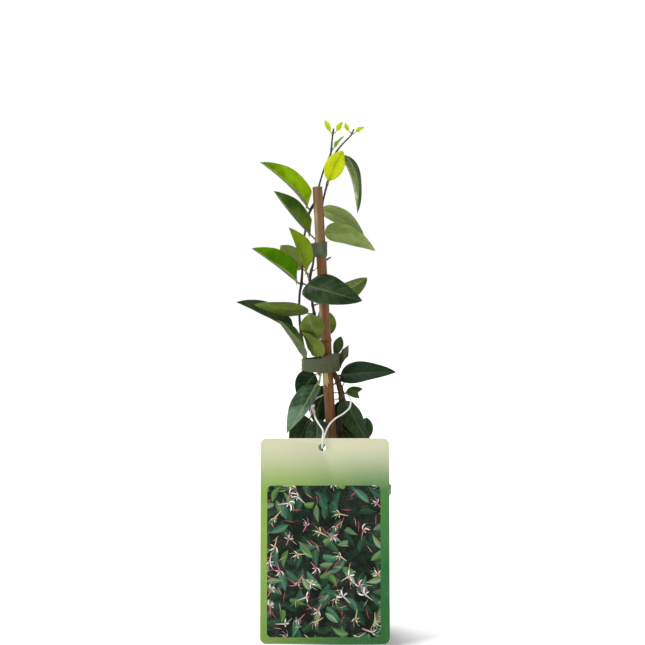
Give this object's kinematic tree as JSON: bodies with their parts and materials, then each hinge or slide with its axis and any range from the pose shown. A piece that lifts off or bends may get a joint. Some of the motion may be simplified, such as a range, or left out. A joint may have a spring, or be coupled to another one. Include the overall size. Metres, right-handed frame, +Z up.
{
  "type": "potted honeysuckle vine",
  "caption": "Young honeysuckle vine tied to a bamboo cane in a round nursery pot of soil, with plastic tape ties and an unlettered picture label hung from string.",
  "frame": {"origin": "centre of the pot's underside, at the level of the ground", "axes": "+Z up along the plant; -Y towards the face of the label; +X to the right of someone who looks at the label"},
  "size_m": [0.1161, 0.0974, 0.3731],
  "materials": {
    "pot": "black moulded plastic, fine grain",
    "soil": "moist dark peat compost, crumbly",
    "bamboo": "dried bamboo, satin, with streaks and a node",
    "young_bark": "smooth dark purple-brown shoot",
    "woody_bark": "reddish-brown woody stem, fibrous",
    "straw": "dry straw-coloured plant tissue, matt",
    "leaf_dark": "dark green leaf, satin upper side, paler underside",
    "leaf_green": "mid-green leaf, satin upper side, paler underside",
    "leaf_bright": "bright green leaf lit from behind, satin",
    "leaf_young": "young yellow-green leaf, soft sheen",
    "leaf_greyish": "grey-green matt leaf underside with fine veins",
    "tape": "thin grey-green plastic tying tape, slightly translucent",
    "card": "glossy printed plastic label card",
    "twine": "white twisted string"
  },
  "bodies": {
    "root": {"pot": "pot", "soil": "soil", "cane": "bamboo", "shoot_left": "young_bark", "shoot_right": "woody_bark", "shoot_side": "straw", "leaf_upper_left_high": "leaf_bright", "leaf_upper_left_low": "leaf_dark", "leaf_upper_right_high": "leaf_greyish", "leaf_upper_right_low": "leaf_greyish", "leaf_top_drooping": "leaf_greyish", "leaf_top_bright": "leaf_young", "leaf_middle_left_upright": "leaf_bright", "leaf_middle_left": "leaf_bright", "leaf_middle_left_rear": "leaf_greyish", "leaf_middle_front": "leaf_dark", "leaf_middle_right_rear": "leaf_green", "leaf_middle_bud": "leaf_greyish", "leaf_long_left": "leaf_dark", "leaf_long_left_front": "leaf_green", "leaf_tie_left": "leaf_greyish", "leaf_tie_front_high": "leaf_green", "leaf_tie_front_low": "leaf_green", "leaf_behind_cane": "leaf_greyish", "leaf_tie_right_small": "leaf_green", "leaf_tie_right": "leaf_dark", "leaf_lower_left_front": "leaf_greyish", "leaf_lower_left_rear": "leaf_dark", "leaf_lower_behind_cane": "leaf_dark", "leaf_lower_narrow": "leaf_dark", "leaf_bottom_left": "leaf_dark", "leaf_bottom_front": "leaf_greyish", "leaf_lower_torn": "leaf_dark", "leaf_lower_right_long": "leaf_dark", "leaf_lower_right_rear": "leaf_dark", "leaf_bottom_right_upright": "leaf_dark", "leaf_bottom_right": "leaf_dark", "leaf_tip_left_low": "leaf_green", "leaf_tip_left_a": "leaf_young", "leaf_tip_left_b": "leaf_young", "leaf_tip_right_a": "leaf_young", "leaf_tip_right_b": "leaf_young", "leaf_back_low": "leaf_dark", "leaf_back_low_left": "leaf_dark", "leaf_back_middle": "leaf_dark", "leaf_back_upper": "leaf_green", "tie_upper": "tape", "tie_lower": "tape", "label": "card", "label_string": "twine", "string_knot": "twine", "dry_bract": "straw"}
  },
  "joints": []
}
